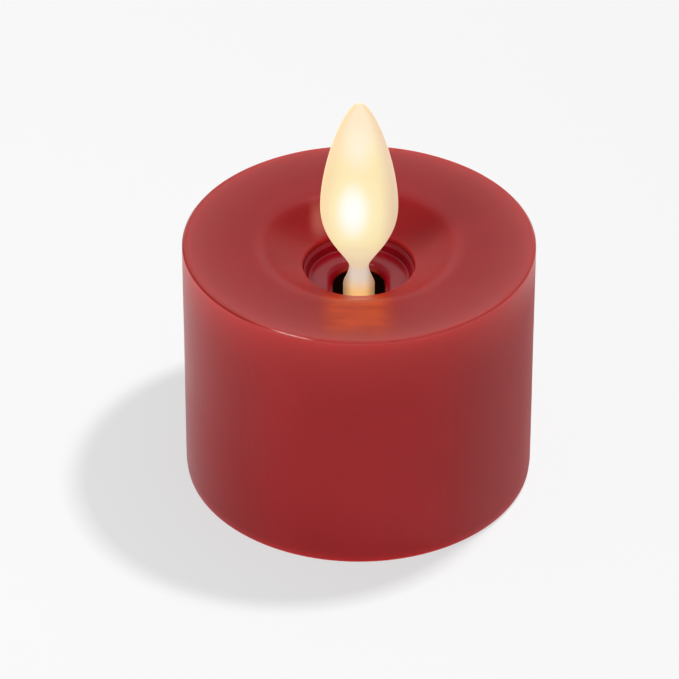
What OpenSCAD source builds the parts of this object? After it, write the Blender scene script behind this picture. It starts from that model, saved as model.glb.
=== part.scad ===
// Flameless LED candle: a wax tealight with a swinging flame, driven by a coil and a magnet.
// Millimetres. The origin is the centre of the wax body's foot, +Z is up, and the front,
// where the lamp shines up at the flame, faces -Y.

/* [Wax body] */
// Outer diameter of the wax body
body_d = 38; // [37.8:0.1:38.4]
// Height of the wax body
body_h = 29; // [29:0.1:29.4]
// Thickness of the wax side wall
wax_wall = 2.3; // [2:0.1:2.3]
// Radius of the round on the top rim
rim_round = 0.45; // [0.2:0.05:0.8]
// Radius of the round at the foot
foot_round = 0.3; // [0.1:0.05:0.5]

/* [Melted bowl] */
// Radius where the gentle dish turns into the bowl
bowl_r = 10.55; // [10:0.05:12]
// Drop of the dish from the rim to the bowl
dish_drop = 0.45; // [0.2:0.05:0.8]
// Depth of the hole's edge below the rim
bowl_depth = 2.9; // [2.6:0.1:3]
// Radius of the hole in the wax
hole_r = 6.15; // [6.12:0.01:6.3]

/* [Flame] */
// Height of the flame's tip above the rim
tip_rise = 17.7; // [16:0.1:19]
// Widest half-width of the petal
petal_half = 4.15; // [3.8:0.05:4.4]
// Thickness of the petal at its middle
petal_t = 1.7; // [1.4:0.1:2]
// Radius of the stem
stem_r = 1.7; // [1.5:0.05:1.8]
// Height of the pivot wire
pivot_z = 20.9; // [20.7:0.1:21]
// Radius of the pivot wire
wire_r = 0.25; // [0.2:0.05:0.25]

/* [Drive] */
// Radius of the flame's magnet
magnet_r = 3; // [2.5:0.1:3.1]
// Thickness of the flame's magnet
magnet_t = 2.8; // [2:0.1:2.8]
// Outer radius of the coil's winding
winding_r = 4.1; // [3.5:0.1:4.2]

/* [Light] */
// Radius of the lamp's dome
led_r = 1.45; // [1.4:0.05:1.5]
// Lean of the lamp towards the flame, in degrees
led_lean = 15; // [13:1:16]

/* [Battery] */
// Radius of the coin cell
cell_r = 12.25; // [11.5:0.05:12.25]
// Height of the coin cell
cell_h = 5; // [4.6:0.1:5]
// Opening turn of the door, in degrees
door_turn = 30; // [26:1:30]

/* [Switch] */
// Travel of the switch each way from its middle position
switch_travel = 1.5; // [1:0.1:1.5]

/* [Hidden] */

$fn = 72;
eps = 0.01;
body_r = body_d / 2;

// Heights of the stack, from the foot up
floor_z = 0.8;
floor_top = 2.1;
channel_top = 3.05;
cell_z = 2.3;
ceiling_z = 8;
board_z = 8.8;
board_t = 0.8;
board_top = board_z + board_t;
bobbin_h = 2.4;
frame_z = 12.4;
magnet_z = 13;
foot_z = magnet_z + magnet_t;
chamber_top = 17.6;
roof_z = 22.5;

// Wax cavity and base
cavity_r = body_r - wax_wall;
base_r = cavity_r - 0.1;
bay_y = 1.3;
bay_r = cell_r + 0.25;
well_r = 13.35;
channel_r = 14.4;
board_r = 15.2;

// Liner
liner_r = 6.05;
skirt_r = 5.5;
flange_r = 7.6;
shelf_z = body_h - 4.8;
shelf_t = 1;
lip_z = body_h - 3.6;
slot_r = 2.8;
slot_run = 1.85;
slot_round = 0.7;

// Mechanism frame
tube_r = 6.9;
spigot_r = skirt_r - 0.08;
spigot_z = 21.5;
chamber_r = 4.45;
throat_r = 2.9;
frame_gap = 0.1;
arm_w = 3.2;
arm_t = 1;
post_r = 1.8;
screw_xy = 10.2;
peg_y = 12.5;
peg_r = 0.8;
boss_r = 1.2;

// Lamp
led_y = -4.7;
led_z = 18.1;
led_len = 4.2;
led_flange_r = 1.8;
led_flange_t = 0.6;
lead_x = 1.27;
lead_r = 0.22;
lead_bend_z = 17.2;
lead_y = led_y - (led_z - lead_bend_z) * tan(led_lean);

// Switch, across the front of the base
switch_y = -13.7;
switch_half = 4;
switch_depth = 2.6;
switch_z = 5.4;
tab_half = 0.9;
tab_ys = [-15.1, -14.3];
riser_half = 1.3;
riser_ys = [-15.1, -12.65];
flange_half = 4;
flange_ys = [-15.2, -13.95];
flange_zs = [2.2, 2.9];
slider_half = [0.8, 0.6];
play = 0.1;

// Bayonet lugs of the door
lug_half = 10;
lug_play = 1.5;
lug_angles = [30, 150, 270];

// A point at radius r and angle a about [x, y]
function polar(x, y, r, a) = [x + r * cos(a), y + r * sin(a)];

// Points along an arc about [x, y], from angle a0 to a1
function arc(x, y, r, a0, a1, n = 6) = [for (i = [0:n]) polar(x, y, r, a0 + (a1 - a0) * i / n)];

// Unit normal of the step from p to q
function normal(p, q) = [p[1] - q[1], q[0] - p[0]] / norm(q - p);

// The mean normal at point i of a path
function bend_normal(path, i) =
    let (before = normal(path[max(i - 1, 0)], path[max(i, 1)]))
    let (after = normal(path[min(i, len(path) - 2)], path[min(i + 1, len(path) - 1)]))
    let (sum = before + after)
    2 * sum / (sum * sum);

// Outline of a bent metal strip of thickness t whose middle runs along path
function strip(path, t) = concat(
    [for (i = [0:len(path) - 1]) path[i] + bend_normal(path, i) * t / 2],
    [for (i = [len(path) - 1:-1:0]) path[i] - bend_normal(path, i) * t / 2]);

// A ring or disc from z0 to z1
module ring(r1, r0, z0, z1) {
    translate([0, 0, z0])
        difference() {
            cylinder(r = r1, h = z1 - z0);
            if (r0 > 0) translate([0, 0, -eps]) cylinder(r = r0, h = z1 - z0 + 2 * eps);
        }
}

// A disc from z0 to z1, a little longer at both ends when it is a cutter; its seam faces the back
module disc(r, z0, z1, over = 0) {
    translate([0, 0, z0 - over]) rotate([0, 0, 90]) cylinder(r = r, h = z1 - z0 + 2 * over);
}

// A block between two corners
module block(low, high) {
    translate(low) cube(high - low);
}

// A sector of a disc about the battery bay, a0 to a1, from z0 to z1
module bay_sector(r, a0, a1, z0, z1) {
    translate([0, bay_y, z0])
        rotate([0, 0, a0])
            rotate_extrude(angle = a1 - a0)
                square([r, z1 - z0]);
}

// The two front screw places
module at_screws() {
    for (side = [-1, 1]) translate([side * screw_xy, -screw_xy, 0]) children();
}

// Places its children along the lamp's own axis, base at the origin
module at_lamp() {
    translate([0, led_y, led_z]) rotate([-led_lean, 0, 0]) children();
}

// ---- Wax body ----

// Share of the bowl's depth reached at t, from 0 at the dish to 1 at the hole's edge; it eases off
bowl_ease = 0.25;
function bowl_drop(t) = (1 + bowl_ease) * t - bowl_ease * t * t;

module wax_shell() {
    edge_r = 0.35;
    edge_tilt = 111;
    dish_z = body_h - dish_drop;
    edge_x = hole_r + edge_r;
    edge_z = body_h - bowl_depth - edge_r;
    bowl_foot = polar(edge_x, edge_z, edge_r, edge_tilt);
    steps = 14;
    color([0.66, 0.2, 0.2])
        rotate_extrude()
            polygon(concat(
                [[cavity_r, 0]],
                arc(body_r - foot_round, foot_round, foot_round, -90, 0, 4),
                arc(body_r - rim_round, body_h - rim_round, rim_round, 0, 90),
                [for (i = [0:steps - 1])
                    let (t = i / steps)
                    [bowl_r + (bowl_foot[0] - bowl_r) * t,
                     dish_z + (bowl_foot[1] - dish_z) * bowl_drop(t)]],
                arc(edge_x, edge_z, edge_r, edge_tilt, 180, 5),
                [[hole_r, roof_z], [cavity_r, roof_z]]));
}

// ---- Red liner of the well ----

// Half outline of the slot's cutter, rolled over at the shelf
function slot_outline() = concat(
    [[0, shelf_z - shelf_t - 1], [slot_r, shelf_z - shelf_t - 1]],
    arc(slot_r + slot_round, shelf_z - slot_round, slot_round, 180, 90),
    [[slot_r + slot_round, shelf_z + 1], [0, shelf_z + 1]]);

// The flame's opening: round at the back and run forwards for the lamp's beam
module liner_slot() {
    rotate_extrude(angle = 180) polygon(slot_outline());
    translate([0, -slot_run, 0])
        rotate([0, 0, 180]) rotate_extrude(angle = 180) polygon(slot_outline());
    for (side = [0, 1])
        mirror([side, 0, 0])
            rotate([90, 0, 0]) linear_extrude(slot_run) polygon(slot_outline());
}

module well_liner() {
    lip_round = 0.12;
    inner_r = 5.72;
    wall_r = 5.62;
    fillet = 0.2;
    color([0.6, 0.05, 0.08])
        difference() {
            rotate_extrude()
                polygon(concat(
                    [[0, shelf_z - shelf_t], [skirt_r, shelf_z - shelf_t], [skirt_r, spigot_z + 0.05]],
                    [[flange_r, spigot_z + 0.05], [flange_r, roof_z - 0.1], [liner_r, roof_z - 0.1]],
                    arc(liner_r - lip_round, lip_z - lip_round, lip_round, 0, 90, 4),
                    arc(inner_r + lip_round, lip_z - 0.4, lip_round, 120, 180, 4),
                    [[wall_r, shelf_z + fillet]],
                    arc(wall_r - fillet, shelf_z + fillet, fillet, -30, -90, 3),
                    [[0, shelf_z]]));
            liner_slot();
        }
}

// ---- Black frame that carries the wire, the lamp and the magnet's chamber ----

module frame_arm(angle, reach) {
    rotate([0, 0, angle])
        block([chamber_r + 1, -arm_w / 2, frame_z], [reach, arm_w / 2, frame_z + arm_t]);
}

module mechanism_frame() {
    frame_top = shelf_z - shelf_t - frame_gap;
    screw_reach = screw_xy * sqrt(2);
    window_half = 1.75;
    notch_half = 2;
    notch_back = -3.2;
    pilot_r = 0.82;
    wire_bore_r = wire_r + 0.05;
    seat_play = 0.06;
    lead_room = 1.2;
    color([0.07, 0.065, 0.065])
        difference() {
            union() {
                disc(tube_r, frame_z, spigot_z);
                disc(spigot_r, spigot_z, frame_top);
                for (angle = [-45, -135]) frame_arm(angle, screw_reach);
                frame_arm(90, peg_y);
                at_screws() disc(post_r, board_z, frame_z + arm_t);
                translate([0, peg_y, 0]) disc(post_r, board_top, frame_z + arm_t);
                translate([0, peg_y, 0]) disc(peg_r, board_z, board_top);
            }
            disc(chamber_r, frame_z, chamber_top, eps);
            disc(throat_r, chamber_top, frame_top, eps);
            // Lamp seat, open to the front below it and to the flame above it
            at_lamp() disc(led_r + seat_play, 0, led_len);
            at_lamp() disc(led_flange_r + 2 * seat_play, -lead_room, led_flange_t + play);
            block([-notch_half, -tube_r - 1, frame_z - eps], [notch_half, notch_back, led_z + play]);
            block([-window_half, -tube_r, spigot_z], [window_half, 0, frame_top + eps]);
            for (side = [-1, 1])
                translate([0, 0, pivot_z])
                    rotate([0, 90 * side, 0])
                        translate([0, 0, throat_r - 1]) cylinder(r = wire_bore_r, h = tube_r);
            at_screws() disc(pilot_r, board_z - eps, frame_z + 0.4);
        }
}

// ---- Flame, its wire and its magnet ----

module pivot_wire() {
    wire_half = 6.4;
    color([0.75, 0.75, 0.77])
        translate([-wire_half, 0, pivot_z]) rotate([0, 90, 0]) cylinder(r = wire_r, h = 2 * wire_half);
}

// The petal's side: one curve from the neck up to the belly, and one from there to the tip
belly_h = 5;
neck_h = -3.3;
neck_half = 1.05;

// A point at t along the cubic curve with control points p
function cubic(p, t) =
    pow(1 - t, 3) * p[0] + 3 * t * pow(1 - t, 2) * p[1] + 3 * t * t * (1 - t) * p[2] + pow(t, 3) * p[3];

// Right-hand side of the petal's outline, from the neck up to the tip
function petal_side() =
    let (belly = [petal_half, body_h + belly_h])
    let (neck = [neck_half, body_h + neck_h])
    let (tip = [0, body_h + tip_rise])
    let (lower = [neck, neck + [0, 1.5], belly - [0, 4.85], belly])
    let (upper = [belly, belly + [0, 4.9], tip + [1.6, 0], tip])
    concat([for (i = [0:14]) cubic(lower, i / 14)], [for (i = [1:16]) cubic(upper, i / 16)]);

module flame_petal() {
    side = petal_side();
    back_r = 9;
    front_r = 15;
    sweep_r = 60;
    mid_z = body_h + belly_h;
    reach = 6;
    intersection() {
        rotate([90, 0, 0])
            translate([0, 0, -reach])
                linear_extrude(2 * reach)
                    polygon(concat(side, [for (i = [len(side) - 2:-1:0]) [-side[i][0], side[i][1]]]));
        // Domed back: a fat hoop about the X axis, so the petal thins towards its edges and ends
        translate([0, petal_t / 2 - sweep_r, mid_z])
            rotate([0, 90, 0])
                rotate_extrude($fn = 360)
                    translate([sweep_r - back_r, 0]) circle(r = back_r, $fn = 180);
        // Hollow front
        difference() {
            block([-reach, -reach, body_h - reach], [reach, reach, body_h + tip_rise + reach]);
            translate([0, -petal_t / 2 - front_r, 0])
                disc(front_r, body_h - reach, body_h + tip_rise + reach, over = 1, $fn = 180);
        }
    }
}

module flame() {
    shoulder_z = body_h - 5.3;
    neck_z = body_h + neck_h;
    foot_r = 2.5;
    waist_r = 1.2;
    bore_mid = wire_r + 0.07;
    bore_end = wire_r + 0.24;
    color([0.97, 0.9, 0.74])
        union() {
            difference() {
                rotate_extrude()
                    polygon([
                        [0, foot_z], [foot_r, foot_z], [foot_r, foot_z + 0.8], [waist_r, foot_z + 1.2],
                        [waist_r, pivot_z - 2], [stem_r, pivot_z - 1.2], [stem_r, shoulder_z - 0.3],
                        [stem_r - 0.06, shoulder_z], [stem_r - 0.25, shoulder_z + 0.55],
                        [neck_half + 0.16, neck_z - 0.85], [neck_half, neck_z - 0.2],
                        [neck_half, neck_z + 0.6], [0, neck_z + 1.4],
                    ]);
                for (side = [-1, 1])
                    translate([0, 0, pivot_z])
                        rotate([0, 90 * side, 0])
                            translate([0, 0, -eps])
                                cylinder(r1 = bore_mid, r2 = bore_end, h = stem_r + 0.1);
            }
            flame_petal();
        }
}

module flame_magnet() {
    bevel = 0.2;
    color([0.72, 0.72, 0.74])
        translate([0, 0, magnet_z])
            rotate_extrude()
                polygon([
                    [0, 0], [magnet_r - bevel, 0], [magnet_r, bevel], [magnet_r, magnet_t - bevel],
                    [magnet_r - bevel, magnet_t], [0, magnet_t],
                ]);
}

// ---- Coil ----

core_r = 1.9;
bobbin_flange_t = 0.5;

module coil_bobbin() {
    flange_rim = winding_r + 0.3;
    color([0.85, 0.83, 0.76])
        union() {
            disc(boss_r, board_z, board_top);
            disc(flange_rim, board_top, board_top + bobbin_flange_t);
            disc(core_r, board_top, board_top + bobbin_h);
            disc(flange_rim, board_top + bobbin_h - bobbin_flange_t, board_top + bobbin_h);
        }
}

module coil_winding() {
    color([0.72, 0.38, 0.2])
        ring(winding_r, core_r, board_top + bobbin_flange_t, board_top + bobbin_h - bobbin_flange_t);
}

// The coil's two ends, from the winding down to their pads on the board
coil_pad_r = 7.4;
coil_pad_angles = [148, 215];

module coil_leads() {
    wire = 0.1;
    start_z = board_top + bobbin_flange_t + 0.3;
    end_z = board_top + 0.12;
    run = coil_pad_r - winding_r + 0.02;
    color([0.72, 0.38, 0.2])
        for (angle = coil_pad_angles)
            rotate([0, 0, angle])
                translate([coil_pad_r, 0, end_z])
                    rotate([0, -atan2(run, start_z - end_z), 0])
                        cylinder(r = wire, h = norm([run, start_z - end_z]));
}

// ---- Circuit board and what is soldered to it ----

contact_slots = [[-7.4, bay_y], [13.72, bay_y]];
contact_half = 0.75;
contact_t = 0.25;
pin_xs = [-2.5, 0, 2.5];
pin_r = 0.3;

module circuit_board() {
    hole_play = 0.05;
    lead_play = 0.13;
    color([0.1, 0.32, 0.16])
        difference() {
            disc(board_r, board_z, board_top);
            at_screws() disc(post_r + 3 * hole_play, board_z, board_top, eps);
            disc(boss_r + hole_play, board_z, board_top, eps);
            translate([0, peg_y, 0]) disc(peg_r + hole_play, board_z, board_top, eps);
            for (side = [-1, 1])
                translate([side * lead_x, lead_y, 0]) disc(lead_r + lead_play, board_z, board_top, eps);
            for (x = pin_xs) translate([x, switch_y, 0]) disc(pin_r + play, board_z, board_top, eps);
            for (slot = contact_slots)
                block([slot[0] - contact_t, slot[1] - contact_half - play, board_z - eps],
                      [slot[0] + contact_t, slot[1] + contact_half + play, board_top + eps]);
        }
}

// An eight-lead chip
module driver_chip() {
    chip_half = [1.95, 2.45];
    chip_zs = [0.1, 1.5];
    lead_pitch = 1.27;
    lead_reach = 3;
    lead_half = 0.2;
    lead_t = 0.25;
    color([0.09, 0.09, 0.1])
        translate([-10.6, -2.6, board_top])
            union() {
                block([-chip_half[0], -chip_half[1], chip_zs[0]], [chip_half[0], chip_half[1], chip_zs[1]]);
                for (row = [-1.5:1.5])
                    block([-lead_reach, row * lead_pitch - lead_half, 0],
                          [lead_reach, row * lead_pitch + lead_half, lead_t]);
            }
}

// A chip part of the given [length, width, height] lying on the board
module chip_part(place, angle, size) {
    translate([place[0], place[1], board_top])
        rotate([0, 0, angle])
            block([-size[0] / 2, -size[1] / 2, 0], [size[0] / 2, size[1] / 2, size[2]]);
}

module chip_resistors() {
    size_0805 = [2, 1.25, 0.5];
    color([0.12, 0.12, 0.13])
        for (y = [-5.5, -3.5, -1.5]) chip_part([9.5, y], 0, size_0805);
}

module chip_capacitors() {
    size_1206 = [3.2, 1.6, 1.1];
    color([0.62, 0.48, 0.34])
        for (place = [[8.6, 5.6], [6.2, 8.6]]) chip_part(place, 40, size_1206);
}

module led() {
    color([0.96, 0.85, 0.6])
        at_lamp()
            union() {
                disc(led_flange_r, 0, led_flange_t);
                disc(led_r, 0, led_len - led_r);
                translate([0, 0, led_len - led_r]) sphere(r = led_r);
            }
}

module led_leads() {
    bend_r = lead_r + 0.03;
    color([0.78, 0.78, 0.8])
        for (side = [-1, 1])
            translate([side * lead_x, 0, 0])
                union() {
                    translate([0, lead_y, 0]) disc(lead_r, board_z, lead_bend_z);
                    translate([0, lead_y, lead_bend_z]) sphere(r = bend_r);
                    translate([0, lead_y, lead_bend_z])
                        rotate([-led_lean, 0, 0])
                            cylinder(r = lead_r, h = (led_z - lead_bend_z) / cos(led_lean) - 0.02);
                }
}

// A leaf spring that presses on the cell's cap
module battery_negative_contact() {
    path = [
        [-7.4, board_top + 0.4], [-7.4, ceiling_z - 0.2], [-3.2, ceiling_z - 0.2],
        [2.4, cell_z + cell_h + 0.16], [3.2, cell_z + cell_h + 0.16], [4.6, cell_z + cell_h + 0.45],
    ];
    color([0.75, 0.7, 0.55])
        translate([0, bay_y + contact_half, 0])
            rotate([90, 0, 0]) linear_extrude(2 * contact_half) polygon(strip(path, contact_t));
}

// A leaf spring that presses on the cell's side
module battery_positive_contact() {
    path = [
        [13.72, board_top + 0.4], [13.72, 4.6], [13.1, 4.4], [12.45, 5.6], [12.45, 6], [12.95, 7],
    ];
    color([0.75, 0.7, 0.55])
        translate([0, bay_y + contact_half, 0])
            rotate([90, 0, 0]) linear_extrude(2 * contact_half) polygon(strip(path, contact_t));
}

// A cone of solder from radius r1 to r2, lying on the board
module solder(x, y, r1, r2, h) {
    translate([x, y, board_top]) cylinder(r1 = r1, r2 = r2, h = h);
}

// A cone of solder round a lead of radius r
module lead_solder(x, y, r) {
    difference() {
        solder(x, y, r + 0.5, r + 0.12, 0.45);
        translate([x, y, 0]) disc(r + eps, board_top, board_top + 1, eps);
    }
}

module solder_joints() {
    pad_out = coil_pad_r + 0.75;
    color([0.74, 0.75, 0.77]) {
        for (side = [-1, 1]) lead_solder(side * lead_x, lead_y, lead_r);
        for (x = pin_xs) lead_solder(x, switch_y, pin_r);
        for (slot = contact_slots)
            difference() {
                solder(slot[0], slot[1], 1.35, 1, 0.3);
                block([slot[0] - contact_t / 2 - eps, slot[1] - contact_half - eps, board_top - eps],
                      [slot[0] + contact_t / 2 + eps, slot[1] + contact_half + eps, board_top + 1]);
            }
        for (angle = coil_pad_angles) rotate([0, 0, angle]) solder(pad_out, 0, 0.7, 0.4, 0.35);
    }
}

// ---- Coin cell ----

cell_top = cell_z + cell_h;
cap_r = cell_r - 0.95;

module coin_cell_can() {
    bevel = 0.45;
    wall = 0.3;
    color([0.78, 0.78, 0.8])
        translate([0, bay_y, 0])
            rotate_extrude()
                polygon([
                    [0, cell_z], [cell_r - bevel, cell_z], [cell_r, cell_z + bevel],
                    [cell_r, cell_top - bevel - 0.2], [cell_r - wall, cell_top - bevel],
                    [cell_r - wall, cell_z + bevel + 0.1], [cell_r - wall - bevel, cell_z + wall],
                    [0, cell_z + wall],
                ]);
}

module coin_cell_gasket() {
    color([0.15, 0.15, 0.16])
        translate([0, bay_y, 0]) ring(cell_r - 0.31, cap_r + 0.01, cell_z + 1, cell_top - 0.5);
}

module coin_cell_cap() {
    bevel = 0.3;
    color([0.7, 0.7, 0.72])
        translate([0, bay_y, 0])
            rotate_extrude()
                polygon([
                    [0, cell_z + 1], [cap_r, cell_z + 1], [cap_r, cell_top - bevel],
                    [cap_r - bevel, cell_top], [0, cell_top],
                ]);
}

// ---- Base ----

module base_housing() {
    head_r = 1.45;
    shank_r = 0.95;
    head_top = 4.6;
    tab_run = tab_half + switch_travel + play;
    flange_run = flange_half + switch_travel + play + 0.05;
    riser_run = riser_half + switch_travel + play + 0.05;
    ledge_z = 3.6;
    tail_half = 0.35;
    pocket_xs = [12, 14.05];
    color([0.1, 0.1, 0.105])
        difference() {
            disc(base_r, floor_z, board_z);
            // Battery bay, the door's well, and the lugs' channels with their entry notches
            translate([0, bay_y, 0]) disc(bay_r, floor_z + 1, ceiling_z);
            translate([0, bay_y, 0]) disc(well_r, floor_z - eps, channel_top);
            for (angle = lug_angles) {
                bay_sector(channel_r, angle - door_turn / 2 - lug_half - lug_play,
                           angle + door_turn / 2 + lug_half + lug_play, floor_top, channel_top);
                bay_sector(channel_r, angle + door_turn / 2 - lug_half - lug_play,
                           angle + door_turn / 2 + lug_half + lug_play, floor_z - eps, floor_top + eps);
            }
            // Contact pocket and tail slots
            block([pocket_xs[0], bay_y - contact_half - 2 * play, 3.9],
                  [pocket_xs[1], bay_y + contact_half + 2 * play, board_z + eps]);
            translate([contact_slots[0][0], bay_y, 0])
                block([-tail_half, -contact_half - 2 * play, ceiling_z - eps],
                      [tail_half, contact_half + 2 * play, board_z + eps]);
            // Screw holes
            at_screws() disc(head_r, floor_z - eps, head_top);
            at_screws() disc(shank_r, head_top - eps, board_z + eps);
            // Switch, its knob's riser, flange and slot
            block([-switch_half - play, switch_y - switch_depth / 2 - play, switch_z - 2 * play],
                  [switch_half + play, switch_y + switch_depth / 2 + play, board_z + eps]);
            block([-riser_run, flange_ys[0] - play, ledge_z - eps],
                  [riser_run, riser_ys[1] + play, switch_z]);
            block([-riser_run, flange_ys[0] - play, flange_zs[1]],
                  [riser_run, flange_ys[1] + play, ledge_z]);
            block([-flange_run, flange_ys[0] - play, floor_top],
                  [flange_run, flange_ys[1] + play, flange_zs[1] + play]);
            block([-tab_run, tab_ys[0] - play, floor_z - eps],
                  [tab_run, tab_ys[1] + play, floor_top + eps]);
        }
}

module battery_door() {
    door_r = well_r - 0.2;
    lug_r = channel_r - 0.25;
    ring_top = 2.9;
    coin_half = 6;
    coin_w = 1.7;
    coin_deep = 0.75;
    dot_y = 10.8;
    dot_r = 0.5;
    dot_deep = 0.3;
    color([0.13, 0.13, 0.135])
        difference() {
            union() {
                translate([0, bay_y, 0]) disc(door_r, floor_z, floor_top);
                translate([0, bay_y, 0]) ring(door_r, bay_r, floor_top - eps, ring_top);
                for (angle = lug_angles)
                    difference() {
                        bay_sector(lug_r, angle - door_turn / 2 - lug_half,
                                   angle - door_turn / 2 + lug_half, floor_top + play, ring_top);
                        translate([0, bay_y, 0]) disc(bay_r + 0.2, floor_z, ring_top + 1);
                    }
            }
            // Coin slot with round ends, and a dot that marks the door's place
            translate([0, bay_y, floor_z - eps]) {
                block([-coin_half, -coin_w / 2, 0], [coin_half, coin_w / 2, coin_deep]);
                for (side = [-1, 1])
                    translate([side * coin_half, 0, 0]) cylinder(r = coin_w / 2, h = coin_deep);
                translate([0, dot_y, 0]) cylinder(r = dot_r, h = dot_deep);
            }
        }
}

// ---- Switch ----

module switch_body() {
    slot_half = slider_half[0] + switch_travel + play;
    color([0.2, 0.2, 0.21])
        difference() {
            block([-switch_half, switch_y - switch_depth / 2, switch_z],
                  [switch_half, switch_y + switch_depth / 2, board_z]);
            block([-slot_half, switch_y - slider_half[1] - play, switch_z - eps],
                  [slot_half, switch_y + slider_half[1] + play, switch_z + 0.6]);
        }
}

module switch_pins() {
    color([0.78, 0.78, 0.8])
        for (x = pin_xs) translate([x, switch_y, 0]) disc(pin_r, board_z, board_top + 0.4);
}

module switch_slider() {
    color([0.85, 0.85, 0.83])
        block([-slider_half[0], switch_y - slider_half[1], 3.75],
              [slider_half[0], switch_y + slider_half[1], switch_z + 0.5]);
}

module switch_knob() {
    color([0.88, 0.88, 0.86])
        difference() {
            union() {
                // Finger tab, dust flange, riser and the fork over the slider
                block([-tab_half, tab_ys[0], 0.3], [tab_half, tab_ys[1], flange_zs[0] + play]);
                block([-flange_half, flange_ys[0], flange_zs[0]],
                      [flange_half, flange_ys[1], flange_zs[1] - eps]);
                block([-riser_half, riser_ys[0], flange_zs[1] - play], [riser_half, flange_ys[1], 3.7]);
                block([-riser_half, riser_ys[0], 3.65], [riser_half, riser_ys[1], 4.9]);
            }
            block([-slider_half[0] - eps, switch_y - slider_half[1] - eps, 3.7],
                  [slider_half[0] + eps, switch_y + slider_half[1] + eps, 5]);
        }
}

module base_screws() {
    shank_r = 0.8;
    head_r = 1.35;
    head_zs = [3.5, 4.55];
    cross_half = 0.2;
    cross_deep = 0.6;
    color([0.6, 0.6, 0.62])
        at_screws()
            difference() {
                union() {
                    disc(shank_r, head_zs[1] - eps, frame_z + 0.2);
                    disc(head_r, head_zs[0], head_zs[1]);
                }
                for (angle = [0, 90])
                    rotate([0, 0, angle])
                        block([-shank_r, -cross_half, head_zs[0] - eps],
                              [shank_r, cross_half, head_zs[0] + cross_deep]);
            }
}

wax_shell();
well_liner();
mechanism_frame();
pivot_wire();
flame();
flame_magnet();
coil_bobbin();
coil_winding();
coil_leads();
circuit_board();
driver_chip();
chip_resistors();
chip_capacitors();
led();
led_leads();
battery_negative_contact();
battery_positive_contact();
solder_joints();
coin_cell_can();
coin_cell_gasket();
coin_cell_cap();
base_housing();
battery_door();
switch_body();
switch_pins();
switch_slider();
switch_knob();
base_screws();
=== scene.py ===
"""The looks of a flameless LED candle: a red wax tealight whose lit flame petal swings on a wire.

Metres, in the frame of the CAD model: the origin is the centre of the foot, +Z is up and the front is -Y.
"""

import math

import bmesh
import bpy
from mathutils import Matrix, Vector, noise


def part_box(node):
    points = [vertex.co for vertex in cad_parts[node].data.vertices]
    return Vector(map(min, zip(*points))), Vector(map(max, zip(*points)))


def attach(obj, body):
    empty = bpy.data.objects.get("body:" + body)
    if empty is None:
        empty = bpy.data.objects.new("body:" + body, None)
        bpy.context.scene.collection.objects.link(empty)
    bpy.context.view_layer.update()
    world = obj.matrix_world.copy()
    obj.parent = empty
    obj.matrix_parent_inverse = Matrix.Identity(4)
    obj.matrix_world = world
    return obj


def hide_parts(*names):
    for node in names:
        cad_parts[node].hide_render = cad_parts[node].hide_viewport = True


MM = 0.001

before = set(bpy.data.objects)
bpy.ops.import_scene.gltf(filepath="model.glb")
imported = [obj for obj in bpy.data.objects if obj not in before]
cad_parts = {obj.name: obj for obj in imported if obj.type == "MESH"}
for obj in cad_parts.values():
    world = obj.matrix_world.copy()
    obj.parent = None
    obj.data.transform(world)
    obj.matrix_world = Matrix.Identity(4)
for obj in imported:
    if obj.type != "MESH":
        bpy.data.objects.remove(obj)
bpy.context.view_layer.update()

# ---------------------------------------------------------------- sizes, from the frame

WAX_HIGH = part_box("wax_shell")[1]
FLAME_LOW, FLAME_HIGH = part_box("flame")
LINER_LOW, LINER_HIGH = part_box("well_liner")
WIRE_LOW, WIRE_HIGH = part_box("pivot_wire")
BASE_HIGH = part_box("base_housing")[1]
LED_LOW, LED_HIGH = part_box("led")

BODY_R = WAX_HIGH.x
TOP_Z = WAX_HIGH.z
PIVOT_Z = (WIRE_LOW.z + WIRE_HIGH.z) / 2
WIRE_R = (WIRE_HIGH.z - WIRE_LOW.z) / 2
TIP_Z = FLAME_HIGH.z
PETAL_HALF = FLAME_HIGH.x
LIP_Z = LINER_HIGH.z
FLANGE_R = LINER_HIGH.x
HALO_X = -4.3 * MM
HALO_Y = 6.9 * MM
CAVITY_R = BASE_HIGH.x + 0.1 * MM

# Wax body
FOOT_ROUND = 0.3 * MM
RIM_BEVEL = 0.26 * MM
FLARE = 0.12 * MM
BOWL_R = 10.55 * MM
DISH_Z = TOP_Z - 0.45 * MM
HOLE_R = 6.02 * MM
HOLE_Z = TOP_Z - 2.9 * MM
HOLE_ROUND = 0.35 * MM
ROOF_Z = TOP_Z - 6.5 * MM

# Liner of the well
LINER_R = 5.99 * MM
SKIRT_R = 5.4 * MM
WALL_R = 5.5 * MM
SHELF_Z = TOP_Z - 4.8 * MM
SHELF_T = 1.0 * MM
SHELF_FILLET = 0.22 * MM
SLOT_R = 2.8 * MM
SLOT_RUN = 1.85 * MM
SLOT_ROUND = 1.0 * MM

# Flame
NECK_R = 1.05 * MM
NECK_Z = TOP_Z - 3.3 * MM
BELLY_Z = TOP_Z + 5 * MM
STEM_R = 1.7 * MM
PETAL_T = 1.7 * MM

ROUND_STEPS = 256
FLAME_STEPS = 96

# Light
FLOOR_GLOW = 0.608
FLOOR_KEY_SHARE = 0.252
SKY = 0.38
KEY_DIRECTION = (0.1, 0.3, 0.95)
FLOOR_KEY_PLACE = Vector((34, 13, 150)) * MM

# ---------------------------------------------------------------- mesh helpers


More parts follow.
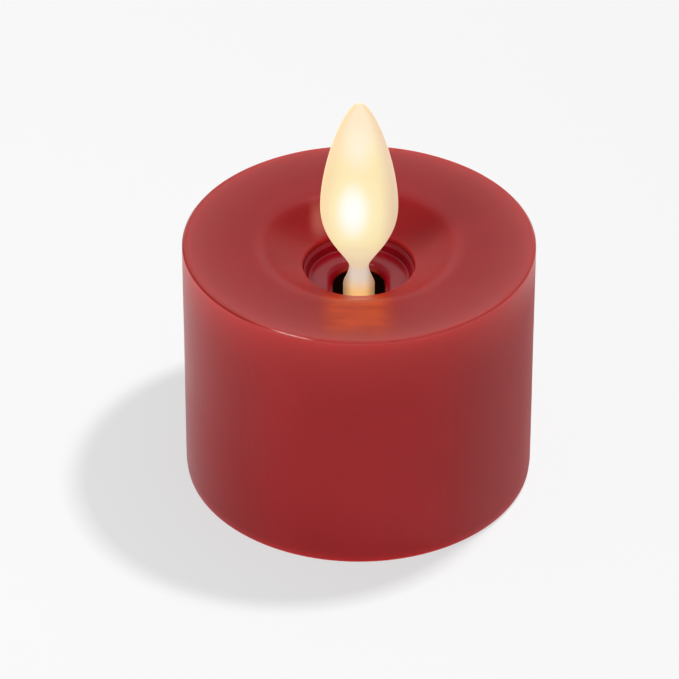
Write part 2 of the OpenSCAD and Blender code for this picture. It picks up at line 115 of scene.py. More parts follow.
def mesh_object(name, points, faces):
    """A smooth-shaded mesh object, with its normals made to face outwards."""
    mesh = bpy.data.meshes.new(name)
    mesh.from_pydata([tuple(p) for p in points], [], faces)
    work = bmesh.new()
    work.from_mesh(mesh)
    bmesh.ops.remove_doubles(work, verts=work.verts, dist=1e-7)
    bmesh.ops.recalc_face_normals(work, faces=work.faces)
    work.to_mesh(mesh)
    work.free()
    for polygon in mesh.polygons:
        polygon.use_smooth = True
    made = bpy.data.objects.new(name, mesh)
    bpy.context.scene.collection.objects.link(made)
    return made


def loft(name, rings, closed=False):
    """A skin over rings of equal length. The last joins the first if closed, or both ends are capped."""
    count = len(rings[0])
    points = [p for ring in rings for p in ring]
    spans = len(rings) if closed else len(rings) - 1
    faces = []
    for row in range(spans):
        here = row * count
        there = (row + 1) % len(rings) * count
        for i in range(count):
            after = (i + 1) % count
            faces.append((here + i, here + after, there + after, there + i))
    if not closed:
        faces.append(tuple(range(count)))
        faces.append(tuple(range((len(rings) - 1) * count, len(rings) * count)))
    return mesh_object(name, points, faces)


def circle(radius, z, count=ROUND_STEPS):
    """A level ring of points."""
    turn = 2 * math.pi / count
    return [Vector((radius * math.cos(i * turn), radius * math.sin(i * turn), z)) for i in range(count)]


def line(start, end, steps):
    """Points from start up to, but not at, end."""
    return [tuple(a + (b - a) * i / steps for a, b in zip(start, end)) for i in range(steps)]


def arc(x, z, radius, start, end, steps):
    """Points along an arc about (x, z), from angle start to angle end in degrees, both ends included."""
    angles = [math.radians(start + (end - start) * i / steps) for i in range(steps + 1)]
    return [(x + radius * math.cos(a), z + radius * math.sin(a)) for a in angles]


def cubic(points, t):
    """A point along a cubic curve with four control points."""
    weights = ((1 - t) ** 3, 3 * t * (1 - t) ** 2, 3 * t * t * (1 - t), t ** 3)
    return tuple(sum(w * p[axis] for w, p in zip(weights, points)) for axis in range(2))


def cut(piece, cutter):
    """Takes cutter away from piece for good."""
    modifier = piece.modifiers.new("cut", "BOOLEAN")
    modifier.object = cutter
    modifier.operation = "DIFFERENCE"
    modifier.solver = "EXACT"
    graph = bpy.context.evaluated_depsgraph_get()
    done = bpy.data.meshes.new_from_object(piece.evaluated_get(graph))
    piece.modifiers.clear()
    piece.data = done
    bpy.data.objects.remove(cutter)


# ---------------------------------------------------------------- wax body


def bowl_profile():
    """The dished top, its crease, the bowl and the rounded edge of the hole, from the rim inwards."""
    edge_tilt = 111
    crease_round = 1.4 * MM
    edge_x = HOLE_R + HOLE_ROUND
    edge_z = HOLE_Z - HOLE_ROUND
    edge = arc(edge_x, edge_z, HOLE_ROUND, edge_tilt, 180, 8)
    bowl_end = edge[0]
    bowl_steps = 24
    ease = 0.25
    bowl = []
    for i in range(1, bowl_steps):
        t = i / bowl_steps
        drop = (1 + ease) * t - ease * t * t
        bowl.append((BOWL_R + (bowl_end[0] - BOWL_R) * t, DISH_Z + (bowl_end[1] - DISH_Z) * drop))
    bowl = [point for point in bowl if point[0] < BOWL_R - crease_round]
    dish_end = (BOWL_R + crease_round, DISH_Z + 0.04 * MM)
    dish = line((BODY_R - RIM_BEVEL, TOP_Z), dish_end, 22)[1:]
    # A crease that eases from the dish into the bowl
    before = (BOWL_R + crease_round * 0.25, DISH_Z)
    after = (BOWL_R - crease_round * 0.2, DISH_Z - 0.05 * MM)
    crease_steps = 8
    crease = [cubic([dish_end, before, after, bowl[0]], i / crease_steps) for i in range(crease_steps)]
    return dish + crease + bowl + edge


def wax_profile():
    """The wax body's closed outline, (radius, height)."""
    side = line((BODY_R, FOOT_ROUND), (BODY_R, TOP_Z - RIM_BEVEL), 48)[1:]
    foot = arc(BODY_R - FOOT_ROUND, FOOT_ROUND, FOOT_ROUND, -90, 0, 5)
    # The moulded rim: a narrow bevel with a soft edge on each side
    soft = 0.1 * MM
    rim = arc(BODY_R - soft, TOP_Z - RIM_BEVEL, soft, 0, 45, 4)
    rim += arc(BODY_R - RIM_BEVEL, TOP_Z - soft, soft, 45, 90, 4)
    hole = line((HOLE_R, HOLE_Z - HOLE_ROUND), (HOLE_R, ROOF_Z), 8)[1:]
    roof = line((HOLE_R, ROOF_Z), (CAVITY_R, ROOF_Z), 8)
    cavity = line((CAVITY_R, ROOF_Z), (CAVITY_R, 0), 12)
    sole = line((CAVITY_R, 0), (BODY_R - FOOT_ROUND, 0), 4)
    return sole + foot + side + rim + bowl_profile() + hole + roof + cavity


def wax_swell(point, depth):
    """How far the hand-poured surface stands off its true form at a point."""
    slow = noise.noise(point * 95)
    fine = noise.noise(point * 420 + Vector((7, 3, 5)))
    return depth * (0.75 * slow + 0.25 * fine)


def hand_made(point, radius, z):
    """Where a point of the outline lies on the poured body: wavy, flared at the foot, uneven at the bowl."""
    swell = 0.035 * MM
    melt_depth, melt_reach = 0.09 * MM, 2.5 * MM
    flat = Vector((point.x, point.y, 0)).normalized()
    shift = wax_swell(point, swell)
    if radius > BODY_R - 2 * RIM_BEVEL:
        shift -= swell * 1.3
    if radius > CAVITY_R + 1 * MM:
        shift += FLARE * (1 - z / TOP_Z)
    if abs(radius - BOWL_R) < melt_reach:
        shift += melt_depth * noise.noise(flat * 2.1)
    on_top = z > TOP_Z - 2 * RIM_BEVEL or radius < BODY_R - RIM_BEVEL
    up = wax_swell(flat * radius, swell) - swell if on_top else 0
    return point + flat * shift + Vector((0, 0, up))


def make_wax():
    rings = []
    for radius, z in wax_profile():
        ring = circle(radius, z)
        outside = radius > CAVITY_R + 0.2 * MM or z > ROOF_Z + 1 * MM
        if outside and z > FOOT_ROUND:
            ring = [hand_made(point, radius, z) for point in ring]
        rings.append(ring)
    return loft("wax_body", rings, closed=True)


# ---------------------------------------------------------------- red liner of the well


def slot_ring(radius, z):
    """A ring round the flame's opening: round at the back, and run forwards for the lamp's beam."""
    ring = []
    for i in range(ROUND_STEPS):
        angle = 2 * math.pi * i / ROUND_STEPS
        x, y = math.cos(angle), math.sin(angle)
        centre = -SLOT_RUN / 2
        reach = slot_reach(x, y, radius)
        ring.append(Vector((x * reach, centre + y * reach, z)))
    return ring


def slot_reach(x, y, radius):
    """Distance from the opening's middle to its edge in the direction (x, y)."""
    half = SLOT_RUN / 2
    straight = radius / abs(x) if abs(x) > 1e-9 else math.inf
    if straight * abs(y) <= half:
        return straight
    side = half * abs(y)
    return side + math.sqrt(side * side - half * half + radius * radius)


def liner_profile():
    """Outer skin, lip, inner wall and shelf of the liner, from the skirt's inner edge to the shelf's."""
    lip_round = 0.13 * MM
    inner_r = WALL_R + 0.12 * MM
    flange_low = LINER_LOW.z
    flange_high = ROOF_Z - 0.1 * MM
    skirt = line((SKIRT_R, SHELF_Z - SHELF_T), (SKIRT_R, flange_low), 3)
    flange = line((SKIRT_R, flange_low), (FLANGE_R, flange_low), 3)
    flange += line((FLANGE_R, flange_low), (FLANGE_R, flange_high), 3)
    shoulder = line((FLANGE_R, flange_high), (LINER_R, flange_high), 3)
    skin = line((LINER_R, flange_high), (LINER_R, LIP_Z - lip_round), 5)
    lip = arc(LINER_R - lip_round, LIP_Z - lip_round, lip_round, 0, 80, 6)
    step = arc(inner_r + lip_round, LIP_Z - 0.45 * MM, lip_round, 115, 180, 6)
    wall = line((WALL_R + 0.06 * MM, LIP_Z - 0.6 * MM), (WALL_R, SHELF_Z + SHELF_FILLET), 3)[1:]
    corner = arc(WALL_R - SHELF_FILLET, SHELF_Z + SHELF_FILLET, SHELF_FILLET, 0, -90, 6)
    return skirt + flange + shoulder + skin + lip + step + wall + corner


def make_liner():
    rings = [circle(radius, z) for radius, z in liner_profile()]
    shelf_out = circle(WALL_R - SHELF_FILLET, SHELF_Z)
    shelf_in = slot_ring(SLOT_R + SLOT_ROUND, SHELF_Z)
    # Each spoke of the shelf runs from the round wall to the nearest way round the opening
    shelf_steps = 8
    crown = 0.05 * MM
    for step in range(1, shelf_steps):
        t = step / shelf_steps
        lift = Vector((0, 0, crown * math.sin(math.pi * t)))
        rings.append([a.lerp(b, t) + lift for a, b in zip(shelf_out, shelf_in)])
    for reach, z in arc(SLOT_R + SLOT_ROUND, SHELF_Z - SLOT_ROUND, SLOT_ROUND, 90, 180, 10):
        rings.append(slot_ring(reach, z))
    under = SHELF_Z - SHELF_T
    rings.append(slot_ring(SLOT_R, under + 0.02 * MM))
    slot_under = slot_ring(SLOT_R, under)
    skirt_top = circle(SKIRT_R, under)
    for step in range(4):
        rings.append([a.lerp(b, step / 4) for a, b in zip(slot_under, skirt_top)])
    return loft("red_liner", rings, closed=True)


# ---------------------------------------------------------------- flame


def petal_side():
    """Half-width and height up the petal's edge, from the neck to just under the tip."""
    neck, belly, tip = (NECK_R, NECK_Z), (PETAL_HALF, BELLY_Z), (0, TIP_Z)
    lower = [neck, (NECK_R, NECK_Z + 1.5 * MM), (PETAL_HALF, BELLY_Z - 4.85 * MM), belly]
    upper = [belly, (PETAL_HALF, BELLY_Z + 4.9 * MM), (1.6 * MM, TIP_Z), tip]
    steps = 36
    side = [cubic(lower, i / steps) for i in range(steps)]
    side += [cubic(upper, 1 - (1 - i / steps) ** 1.25) for i in range(steps)]
    return side


def petal_skin(x, z):
    """Front and back of the petal at (x, z): a shallow hollow in front and a domed back."""
    back_r, front_r, sweep_r = 9 * MM, 15 * MM, 60 * MM
    sag = sweep_r - math.sqrt(sweep_r ** 2 - (z - BELLY_Z) ** 2)
    back = PETAL_T / 2 - sag - (back_r - math.sqrt(back_r ** 2 - x * x))
    front = -PETAL_T / 2 - (front_r - math.sqrt(front_r ** 2 - x * x))
    return front, back


def petal_ring(half, z):
    """One level slice of the petal, rounded at both edges, and round at the neck."""
    square = 0.62
    neck_blend = min(1, max(0, (z - NECK_Z) / (2.6 * MM)))
    neck_blend = neck_blend * neck_blend * (3 - 2 * neck_blend)
    ring = []
    for i in range(FLAME_STEPS):
        angle = 2 * math.pi * i / FLAME_STEPS
        x = half * math.cos(angle)
        front, back = petal_skin(x, z)
        rise = math.copysign(abs(math.sin(angle)) ** square, math.sin(angle))
        thick = min((back - front) / 2, half * 0.55)
        y = (front + back) / 2 + thick * rise
        ring.append(Vector((x, y * neck_blend + half * math.sin(angle) * (1 - neck_blend), z)))
    return ring


def stem_profile():
    """Radius and height up the stem, from the foot to the neck."""
    foot_low = FLAME_LOW.z
    foot_r = 2.5 * MM
    waist_r = 1.2 * MM
    shoulder = TOP_Z - 5.6 * MM
    bulge, taper = (STEM_R, shoulder + 0.45 * MM), (NECK_R + 0.05 * MM, NECK_Z - 1.1 * MM)
    bulb = [(STEM_R, shoulder), bulge, taper, (NECK_R, NECK_Z)]
    steps = 14
    return (
        [(foot_r - 0.1 * MM, foot_low), (foot_r, foot_low + 0.1 * MM)]
        + [(foot_r, foot_low + 0.7 * MM), (foot_r - 0.1 * MM, foot_low + 0.8 * MM)]
        + [(waist_r, foot_low + 1.2 * MM), (waist_r, PIVOT_Z - 2 * MM)]
        + line((STEM_R, PIVOT_Z - 1.2 * MM), (STEM_R, shoulder), 8)
        + [cubic(bulb, i / steps) for i in range(steps)]
    )


def make_flame():
    rings = [circle(radius, z, FLAME_STEPS) for radius, z in stem_profile()]
    rings += [petal_ring(half, z) for half, z in petal_side()]
    # The tip closes over a small round cap
    last_half, last_z = petal_side()[-1]
    rings.append(petal_ring(last_half * 0.45, last_z + (TIP_Z - last_z) * 0.8))
    flame = loft("flame_petal", rings)
    # The flared hole that rocks on the wire
    waist, mouth, half = WIRE_R + 0.07 * MM, WIRE_R + 0.24 * MM, STEM_R + 0.1 * MM
    across = []
    for x, radius in [(-half, mouth), (0, waist), (half, mouth)]:
        across.append([Vector((x, p.x, PIVOT_Z + p.y)) for p in circle(radius, 0, 32)])
    cut(flame, loft("wire_hole", across))
    return flame


# ---------------------------------------------------------------- materials


class Paint:
    """Builds one node material: a Principled shader and what feeds it."""

    def __init__(self, name, **settings):
        self.material = bpy.data.materials.new(name)
        self.material.use_nodes = True
        self.tree = self.material.node_tree
        self.shader = self.tree.nodes["Principled BSDF"]
        self.set(**settings)

    def set(self, **settings):
        """Sets the shader's own sockets: base_color=..., roughness=... A socket value or a link."""
        for key, value in settings.items():
            self.feed(self.shader.inputs[key.replace("_", " ").title().replace("Ior", "IOR")], value)

    def feed(self, socket, value):
        if isinstance(value, bpy.types.NodeSocket):
            self.tree.links.new(value, socket)
        elif isinstance(value, (tuple, list)) and len(value) == 3 and socket.type == "RGBA":
            socket.default_value = (*value, 1)
        else:
            socket.default_value = value

    def add(self, kind, inputs=None, **props):
        """Adds a node, sets its properties and feeds its inputs by name or number."""
        made = self.tree.nodes.new("ShaderNode" + kind)
        for key, value in props.items():
            setattr(made, key, value)
        for key, value in (inputs or {}).items():
            self.feed(made.inputs[key], value)
        return made

    def place(self):
        """The point being shaded, in the object's own metres."""
        return self.add("TexCoord").outputs["Object"]

    def math(self, operation, a, b=0.0, clamp=False):
        return self.add("Math", {0: a, 1: b}, operation=operation, use_clamp=clamp).outputs[0]

    def ramp(self, value, low, high):
        """0 to 1 as value goes from low to high, smoothly."""
        inputs = {"Value": value, "From Min": low, "From Max": high}
        return self.add("MapRange", inputs, interpolation_type="SMOOTHSTEP").outputs[0]

    def spread(self, value, low, high):
        """low to high as value goes from 0 to 1."""
        return self.add("MapRange", {"Value": value, "To Min": low, "To Max": high}).outputs[0]

    def times(self, first, *others):
        """The product of all of them."""
        for other in others:
            first = self.math("MULTIPLY", first, other)
        return first

    def mix(self, factor, a, b):
        made = self.add("Mix", data_type="RGBA")
        for name, value in (("Factor", factor), ("A", a), ("B", b)):
            wanted = [s for s in made.inputs if s.name == name and s.enabled]
            self.feed(wanted[0], value)
        return [s for s in made.outputs if s.enabled][0]

    def noise(self, scale, detail=3.0, vector=None):
        inputs = {"Vector": vector or self.place(), "Scale": scale, "Detail": detail}
        return self.add("TexNoise", inputs).outputs[0]

    def axes(self):
        """x, y and z of the point being shaded."""
        return self.add("SeparateXYZ", {0: self.place()}).outputs

    def bump(self, height, strength, depth, under=None):
        inputs = {"Height": height, "Strength": strength, "Distance": depth}
        if under is not None:
            inputs["Normal"] = under
        return self.add("Bump", inputs).outputs[0]

    def scaled(self, factors):
        return self.add("VectorMath", {0: self.place(), 1: factors}, operation="MULTIPLY").outputs[0]


def plastic(name, color, roughness, grain=2600, grain_depth=0.006, **more):
    """Moulded plastic: an even colour with a faint cloud in it, and a fine moulded grain. Depth is in mm."""
    paint = Paint(name, **more)
    cloud = paint.ramp(paint.noise(160, 2), 0.35, 0.65)
    darker = tuple(c * 0.88 for c in color)
    paint.set(base_color=paint.mix(cloud, darker, color))
    bumps = paint.noise(grain, 2)
    paint.set(roughness=paint.spread(bumps, roughness * 0.85, roughness * 1.15))
    paint.set(normal=paint.bump(bumps, 0.6, grain_depth * MM))
    return paint.material


def metal(name, color, roughness, stretch=(1, 1, 1)):
    """Metal with drawn or brushed marks along the axis that stretch makes small."""
    paint = Paint(name, metallic=1.0)
    marks = paint.noise(1800, 3, paint.scaled(stretch))
    darker = tuple(c * 0.9 for c in color)
    paint.set(base_color=paint.mix(paint.ramp(marks, 0.3, 0.7), darker, color))
    paint.set(roughness=paint.spread(marks, roughness * 0.7, roughness * 1.4))
    paint.set(normal=paint.bump(marks, 0.35, 0.004 * MM))
    return paint.material


def wax_color(paint, x, y, z, radius, patch):
    """Deep red, painted paler on top and in the front of the bowl as a sheen, with light leaking out under
    the rim and a painted shade line along the rim's edge.
    """
    deep, body, pale = (0.41, 0.011, 0.014), (0.44, 0.013, 0.016), (0.56, 0.085, 0.08)
    shaded, leaking = (0.34, 0.011, 0.014), (0.58, 0.045, 0.042)
    painted_edge_shade, lit = (0.25, 0.006, 0.006), (0.46, 0.03, 0.0)
    across = paint.math("ABSOLUTE", x)
    cloud = paint.ramp(paint.noise(120, 3), 0.3, 0.7)
    color = paint.mix(cloud, deep, body)
    # Painted sheen: the flat top is painted a little paler than the side, and most of all at its rim
    on_top = paint.ramp(z, TOP_Z - 0.9 * MM, TOP_Z - 0.4 * MM)
    near_rim = paint.math("POWER", paint.math("DIVIDE", radius, BODY_R, clamp=True), 7.0)
    color = paint.mix(paint.times(on_top, near_rim), color, pale)
    # The same painted sheen lies on the bowl, but for its back
    in_bowl = paint.ramp(radius, BOWL_R + 1.5 * MM, BOWL_R - 1.5 * MM)
    over_hole = paint.ramp(z, HOLE_Z - 1 * MM, HOLE_Z)
    front = paint.times(paint.ramp(y, 5.5 * MM, 1.5 * MM), paint.ramp(across, 2.2 * MM, 4.5 * MM))
    color = paint.mix(paint.times(in_bowl, over_hole, front, 0.5), color, pale)
    # The side takes less light where it turns away
    away = paint.times(paint.ramp(across, 7 * MM, 14 * MM), paint.ramp(z, TOP_Z - 1 * MM, TOP_Z - 7 * MM))
    color = paint.mix(paint.times(away, 0.8), color, shaded)
    # Light that enters through the top comes out of the upper side
    down = paint.math("DIVIDE", paint.math("SUBTRACT", z, TOP_Z - 0.5 * MM), 3.2 * MM)
    leak = paint.math("POWER", math.e, down, clamp=True)
    below_rim = paint.ramp(z, TOP_Z - 0.25 * MM, TOP_Z - 0.5 * MM)
    on_side = paint.ramp(radius, BODY_R - 0.8 * MM, BODY_R - 0.3 * MM)
    color = paint.mix(paint.times(leak, below_rim, on_side), color, leaking)
    # Painted shade: a thin dark line along the moulded edge, deepest at its left
    off_line = paint.math("ABSOLUTE", paint.math("SUBTRACT", z, TOP_Z - 0.13 * MM))
    edge_shade_line = paint.times(paint.ramp(off_line, 0.16 * MM, 0.02 * MM), on_side)
    to_left = paint.math("ADD", paint.times(paint.ramp(x, -9 * MM, -13 * MM), 0.55), 0.2)
    color = paint.mix(paint.times(edge_shade_line, to_left), color, painted_edge_shade)
    return paint.mix(paint.times(patch, 0.5), color, lit)


def wax_glow(paint, x, y, radius, patch):
    """Colour and strength of the light in the wax: the lamp's, the flame's, and that in the hole's edge."""
    orange, halo, red = (1.0, 0.14, 0.0), (0.85, 0.42, 0.28), (1.0, 0.05, 0.05)
    grain = paint.ramp(paint.noise(900, 3, paint.scaled((0.25, 1, 1))), 0.3, 0.7)
    streaks = paint.times(patch, paint.math("ADD", paint.times(grain, 0.7), 0.42))
    halo_x = paint.ramp(paint.math("ABSOLUTE", paint.math("SUBTRACT", x, HALO_X)), 1.4 * MM, 0.1 * MM)
    halo_y = paint.ramp(paint.math("ABSOLUTE", paint.math("SUBTRACT", y, HALO_Y)), 3.0 * MM, 0.3 * MM)
    beside = paint.times(halo_x, halo_y, 0.8)
    hole_edge = paint.times(paint.ramp(radius, HOLE_R + 0.5 * MM, HOLE_R), 0.22)
    color = paint.mix(paint.ramp(y, -5 * MM, 0), orange, halo)
    color = paint.mix(paint.ramp(hole_edge, 0.0, 0.1), color, red)
    return color, paint.times(paint.math("ADD", paint.math("ADD", streaks, beside), hole_edge), 0.2)


def wax_paint():
    """Red wax: light spreads inside it, and the lamp shines through it in front of the well."""
    paint = Paint("red_wax", specular_ior_level=0.2)
    x, y, z = paint.axes()
    radius = paint.math("SQRT", paint.math("ADD", paint.times(x, x), paint.times(y, y)))
    across = paint.times(paint.ramp(x, -4.6 * MM, -2.2 * MM), paint.ramp(x, 4.2 * MM, 1.6 * MM))
    along = paint.times(paint.ramp(y, -18.6 * MM, -14.5 * MM), paint.ramp(y, -5.5 * MM, -6.5 * MM))
    patch = paint.times(across, along, paint.ramp(z, HOLE_Z - 1.5 * MM, HOLE_Z - 0.5 * MM))
    paint.set(base_color=wax_color(paint, x, y, z, radius, patch))
    paint.shader.subsurface_method = "RANDOM_WALK"
    paint.set(subsurface_weight=1.0, subsurface_scale=1.0 * MM, subsurface_radius=(3.2, 0.7, 0.6))
    glow_color, glow = wax_glow(paint, x, y, radius, patch)
    paint.set(emission_color=glow_color, emission_strength=glow)
    # Smooth and glossy at the moulded rim, dull on the right, in between elsewhere
    rim_out = paint.ramp(radius, BODY_R - 0.6 * MM, BODY_R - 0.2 * MM)
    at_rim = paint.times(rim_out, paint.ramp(z, TOP_Z - 0.5 * MM, TOP_Z - 0.2 * MM))
    right = paint.times(paint.ramp(x, 11 * MM, 18 * MM), paint.ramp(z, TOP_Z, TOP_Z - 5 * MM))
    paint.set(roughness=paint.math("ADD", paint.spread(at_rim, 0.34, 0.12), paint.times(right, 0.19)))
    # Poured surface: slow waves, a fine skin and a few small pits
    waves = paint.bump(paint.noise(260, 3), 0.25, 0.03 * MM)
    skin = paint.bump(paint.noise(2400, 3), paint.spread(at_rim, 0.25, 0.03), 0.01 * MM, waves)
    cells = paint.add("TexVoronoi", {"Vector": paint.place(), "Scale": 620}).outputs["Distance"]
    pits = paint.ramp(cells, 0.2, 0.05)
    few = paint.ramp(paint.noise(210, 2), 0.56, 0.66)
    level = paint.math("SUBTRACT", 1.0, paint.times(few, pits))
    paint.set(normal=paint.bump(level, 0.6, 0.05 * MM, skin))
    return paint.material


def flame_paint():
    """Translucent cream plastic, lit from below in front: a white heart, warmer edges and an orange foot."""
    paint = Paint("flame_glow", roughness=0.38, specular_ior_level=0.4)
    x, y, z = paint.axes()
    left_edge, right_edge, cream = (0.87, 0.64, 0.34), (0.70, 0.53, 0.36), (0.90, 0.76, 0.40)
    peach, bright = (0.89, 0.72, 0.50), (1.0, 0.92, 0.57)
    upper, heart = (0.91, 0.85, 0.66), (1.05, 1.03, 1.03)
    under, stem_grey = (0.79, 0.62, 0.41), (0.70, 0.60, 0.51)
    foot_orange, stem_shade = (0.92, 0.51, 0.18), (0.22, 0.10, 0.06)

    def spot(at_x, at_z, wide, tall):
        """1 in the middle of a soft ellipse, and 0 at its edge. In mm, with at_z from the wax's top."""
        dx = paint.math("DIVIDE", paint.math("SUBTRACT", x, at_x * MM), wide * MM)
        dz = paint.math("DIVIDE", paint.math("SUBTRACT", z, TOP_Z + at_z * MM), tall * MM)
        away = paint.math("SQRT", paint.math("ADD", paint.times(dx, dx), paint.times(dz, dz)))
        return paint.ramp(away, 1.0, 0.0)

    # Colour across the petal at this height, with painted shade greying its right edge
    height = paint.math("DIVIDE", paint.math("SUBTRACT", z, BELLY_Z), TIP_Z - BELLY_Z)
    taper = paint.math("SUBTRACT", 1.0, paint.math("POWER", paint.math("ABSOLUTE", height), 2.0), clamp=True)
    half = paint.times(paint.math("POWER", taper, 0.75), PETAL_HALF)
    across = paint.math("DIVIDE", paint.math("ABSOLUTE", x), paint.math("MAXIMUM", half, 0.5 * MM))
    edge = paint.mix(paint.ramp(x, -1 * MM, 3.5 * MM), left_edge, right_edge)
    middle = paint.mix(paint.ramp(z, TIP_Z - 8 * MM, TIP_Z - 2 * MM), cream, peach)
    color = paint.mix(paint.ramp(across, 1.0, 0.4), edge, middle)
    # Painted highlights: the lamp's light spots high on the petal, at its belly and in its white heart
    color = paint.mix(paint.times(spot(-0.1, 12.2, 2.3, 4.4), 0.85), color, upper)
    color = paint.mix(spot(-0.6, 3.7, 4.5, 6.7), color, bright)
    color = paint.mix(paint.math("POWER", spot(-0.65, 4.2, 2.1, 4.2), 0.7), color, heart)
    # Below the belly the petal cools to a pinkish cream, and the stem to a pale grey with an orange foot
    color = paint.mix(paint.ramp(z, TOP_Z + 0.6 * MM, TOP_Z - 2.4 * MM), color, under)
    color = paint.mix(paint.ramp(z, TOP_Z - 2.6 * MM, TOP_Z - 3.5 * MM), color, stem_grey)
    color = paint.mix(paint.ramp(z, TOP_Z - 4.0 * MM, TOP_Z - 5.8 * MM), color, foot_orange)
    # The stem shades off towards its sides
    off = paint.ramp(paint.math("ABSOLUTE", x), 0.55 * MM, STEM_R)
    on_stem = paint.ramp(z, TOP_Z - 2.2 * MM, TOP_Z - 3.4 * MM)
    color = paint.mix(paint.times(on_stem, off, 0.75), color, stem_shade)
    paint.set(base_color=(0.3, 0.27, 0.21), emission_color=color, emission_strength=0.9)
    paint.set(subsurface_weight=0.6, subsurface_scale=1.0 * MM, subsurface_radius=(1.5, 1.0, 0.6))
    paint.set(normal=paint.bump(paint.noise(900, 2), 0.15, 0.01 * MM))
    return paint.material


def winding_paint():
    """Enamelled copper wire laid in turns."""
    paint = Paint("coil_wire", metallic=1.0, coat_weight=0.5, coat_roughness=0.15)
    inputs = {"Vector": paint.place(), "Scale": 1900, "Distortion": 0.6}
    height = paint.add("TexWave", inputs, bands_direction="Z").outputs["Fac"]
    paint.set(base_color=paint.mix(height, (0.28, 0.09, 0.035), (0.80, 0.36, 0.16)), roughness=0.28)
    paint.set(normal=paint.bump(height, 0.8, 0.05 * MM))
    return paint.material


def board_paint():
    """Green solder mask over faint copper tracks."""
    paint = Paint("solder_mask", roughness=0.3, coat_weight=0.3, coat_roughness=0.1)
    tracks = paint.add("TexWave", {"Vector": paint.place(), "Scale": 260, "Distortion": 9, "Detail": 0.5})
    copper = paint.ramp(tracks.outputs["Fac"], 0.72, 0.8)
    paint.set(base_color=paint.mix(copper, (0.012, 0.10, 0.035), (0.03, 0.19, 0.06)))
    paint.set(normal=paint.bump(copper, 0.5, 0.03 * MM))
    return paint.material


def resistor_paint():
    """A black chip part whose two ends are tinned."""
    low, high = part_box("chip_resistors")
    centre_x, half_length = (low.x + high.x) / 2, (high.x - low.x) / 2
    paint = Paint("resistor")
    x = paint.axes()[0]
    off = paint.math("ABSOLUTE", paint.math("SUBTRACT", x, centre_x))
    ends = paint.ramp(off, half_length * 0.62, half_length * 0.66)
    speckle = paint.noise(4000, 2)
    paint.set(base_color=paint.mix(ends, (0.02, 0.02, 0.022), (0.62, 0.62, 0.64)), metallic=ends)
    paint.set(roughness=paint.spread(speckle, 0.3, 0.5))
    return paint.material


def lamp_paint():
    """Warm, lit epoxy."""
    paint = Paint("lamp_epoxy", base_color=(1.0, 0.85, 0.6), roughness=0.12, transmission_weight=0.35)
    z = paint.axes()[2]
    hot = paint.ramp(z, LED_LOW.z, LED_HIGH.z)
    paint.set(emission_color=(1.0, 0.62, 0.25), emission_strength=paint.times(hot, 0.7))
    paint.set(normal=paint.bump(paint.noise(1500, 2), 0.1, 0.01 * MM))
    return paint.material


def floor_paint():
    """An even pale floor: its own glow makes up for the key light's fall-off away from the candle."""
    paint = Paint("pale_floor", base_color=(0.16, 0.16, 0.16), roughness=0.9, specular_ior_level=0.0)
    x, y, _ = paint.axes()
    dx = paint.math("SUBTRACT", x, FLOOR_KEY_PLACE.x)
    dy = paint.math("SUBTRACT", y, FLOOR_KEY_PLACE.y)
    off = paint.math("ADD", paint.times(dx, dx), paint.times(dy, dy))
    high = FLOOR_KEY_PLACE.z ** 2
    near = paint.math("DIVIDE", high, paint.math("ADD", off, high))
    lost = paint.math("SUBTRACT", 1.0, paint.times(near, near))
    glow = paint.math("ADD", FLOOR_GLOW, paint.times(lost, FLOOR_KEY_SHARE))
    paint.set(emission_color=(1.0, 1.0, 1.0), emission_strength=glow)
    return paint.material


# ---------------------------------------------------------------- lights, floor and camera


def point_at(thing, place, target):
    thing.location = place
    thing.rotation_mode = "QUATERNION"
    thing.rotation_quaternion = (Vector(target) - Vector(place)).to_track_quat("-Z", "Y")


def softbox(name, direction, far, size, watts, linked):
    """An area light, wide by high, aimed at the candle. linked says which objects it lights."""
    light = bpy.data.lights.new(name, "AREA")
    light.shape = "RECTANGLE"
    light.size, light.size_y = size
    light.energy = watts
    holder = bpy.data.objects.new(name, light)
    bpy.context.scene.collection.objects.link(holder)
    centre = Vector((0, 0, TOP_Z / 2))
    point_at(holder, centre + Vector(direction).normalized() * far, centre)
    holder.light_linking.receiver_collection = linked


def make_floor():
    half = 1.5
    corners = [(-half, -half, 0), (half, -half, 0), (half, half, 0), (-half, half, 0)]
    floor = mesh_object("floor", corners, [(0, 1, 2, 3)])
    floor.data.materials.append(floor_paint())
    return floor


def floor_set(name, floor, state):
    """A light-linking collection that takes in, or leaves out, the floor alone."""
    made = bpy.data.collections.new(name)
    made.objects.link(floor)
    made.collection_objects[0].light_linking.link_state = state
    return made


def make_lights(floor):
    only_floor = floor_set("only_floor", floor, "INCLUDE")
    not_floor = floor_set("not_floor", floor, "EXCLUDE")
    middle = Vector((0, 0, TOP_Z / 2))
    to_floor_key = FLOOR_KEY_PLACE - middle
    softbox("floor_key", to_floor_key, to_floor_key.length, (0.012, 0.012), 0.384, only_floor)
    softbox("key", KEY_DIRECTION, 0.9, (0.25, 0.25), 1.38, not_floor)
    # Long and narrow, so that it shines back from the bevel of the rim
    softbox("left_strip", (-0.5, -0.42, 0.755), 0.6, (0.2, 0.012), 0.6, not_floor)
    softbox("back_box", (0, 0.78, 0.62), 0.75, (0.62, 0.62), 0.75, not_floor)


def make_sky():
    world = bpy.data.worlds.new("studio")
    bpy.context.scene.world = world
    world.use_nodes = True
    background = world.node_tree.nodes["Background"]
    background.inputs["Color"].default_value = (1, 1, 1, 1)
    background.inputs["Strength"].default_value = SKY


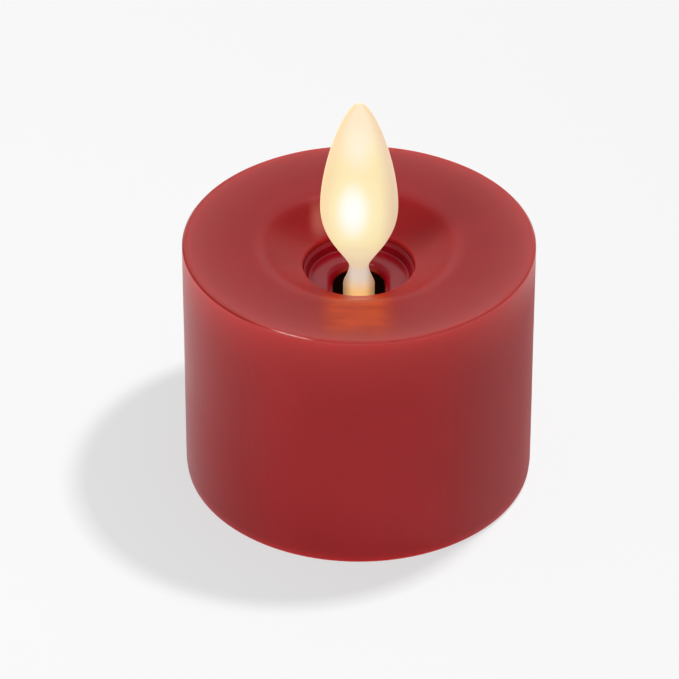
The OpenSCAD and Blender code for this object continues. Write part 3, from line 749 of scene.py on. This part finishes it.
def make_camera():
    """A long lens in front, 35 degrees above the table."""
    target = Vector((-2.09, 0, 15.94)) * MM
    distance = 436.5 * MM
    rise = math.radians(35.35)
    data = bpy.data.cameras.new("camera")
    data.sensor_width = 36
    data.lens = 212.4
    data.clip_start = 0.01
    camera = bpy.data.objects.new("camera", data)
    bpy.context.scene.collection.objects.link(camera)
    back = Vector((0, -math.cos(rise), math.sin(rise)))
    point_at(camera, target + back * distance, target)
    bpy.context.scene.camera = camera


# ---------------------------------------------------------------- putting it together


def paint_node(name, material):
    """Gives a CAD node its finish."""
    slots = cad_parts[name].data.materials
    slots.clear()
    slots.append(material)


def stand_for(piece, node, body, material):
    """A detailed piece shown in place of a CAD node."""
    piece.data.materials.clear()
    piece.data.materials.append(material)
    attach(piece, body)
    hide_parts(node)


def paint_cad():
    tin = metal("tinned_lead", (0.72, 0.72, 0.74), 0.3)
    copper = metal("copper_wire", (0.85, 0.40, 0.2), 0.25)
    spring = metal("spring_bronze", (0.78, 0.62, 0.36), 0.3, (1, 0.15, 1))
    steel = metal("cell_steel", (0.72, 0.72, 0.74), 0.26, (0.2, 1, 1))
    base = plastic("base_plastic", (0.022, 0.022, 0.024), 0.5, 1900, 0.012)
    nylon = plastic("nylon", (0.78, 0.73, 0.6), 0.4, subsurface_weight=0.2, subsurface_scale=0.5 * MM)
    finishes = {
        "mechanism_frame": plastic("frame_plastic", (0.006, 0.0005, 0.0008), 0.6, specular_ior_level=0.05),
        "pivot_wire": metal("spring_steel", (0.7, 0.7, 0.72), 0.18, (0.1, 1, 1)),
        "flame_magnet": metal("nickel_plate", (0.74, 0.72, 0.69), 0.14),
        "coil_bobbin": nylon,
        "coil_winding": winding_paint(),
        "coil_leads": copper,
        "circuit_board": board_paint(),
        "driver_chip": plastic("chip_epoxy", (0.015, 0.015, 0.017), 0.45),
        "chip_resistors": resistor_paint(),
        "chip_capacitors": plastic("capacitor", (0.36, 0.22, 0.12), 0.35),
        "led": lamp_paint(),
        "led_leads": tin,
        "battery_negative_contact": spring,
        "battery_positive_contact": spring,
        "solder_joints": metal("solder", (0.68, 0.69, 0.71), 0.22),
        "coin_cell_can": steel,
        "coin_cell_gasket": plastic("gasket", (0.03, 0.03, 0.03), 0.6),
        "coin_cell_cap": steel,
        "base_housing": base,
        "battery_door": base,
        "switch_body": plastic("switch_plastic", (0.05, 0.05, 0.055), 0.45),
        "switch_pins": tin,
        "switch_slider": plastic("slider_plastic", (0.7, 0.7, 0.68), 0.4),
        "switch_knob": plastic("knob_plastic", (0.78, 0.78, 0.75), 0.38),
        "base_screws": metal("zinc", (0.55, 0.56, 0.58), 0.3),
    }
    for name, material in finishes.items():
        paint_node(name, material)


bpy.context.scene.view_settings.view_transform = "Standard"
make_sky()
make_camera()
make_lights(make_floor())
paint_cad()
stand_for(make_wax(), "wax_shell", "housing", wax_paint())
stand_for(
    make_liner(), "well_liner", "housing",
    plastic("red_gloss", (0.36, 0.003, 0.012), 0.24, 1200, 0.003, specular_ior_level=0.36),
)
stand_for(make_flame(), "flame", "flame_body", flame_paint())
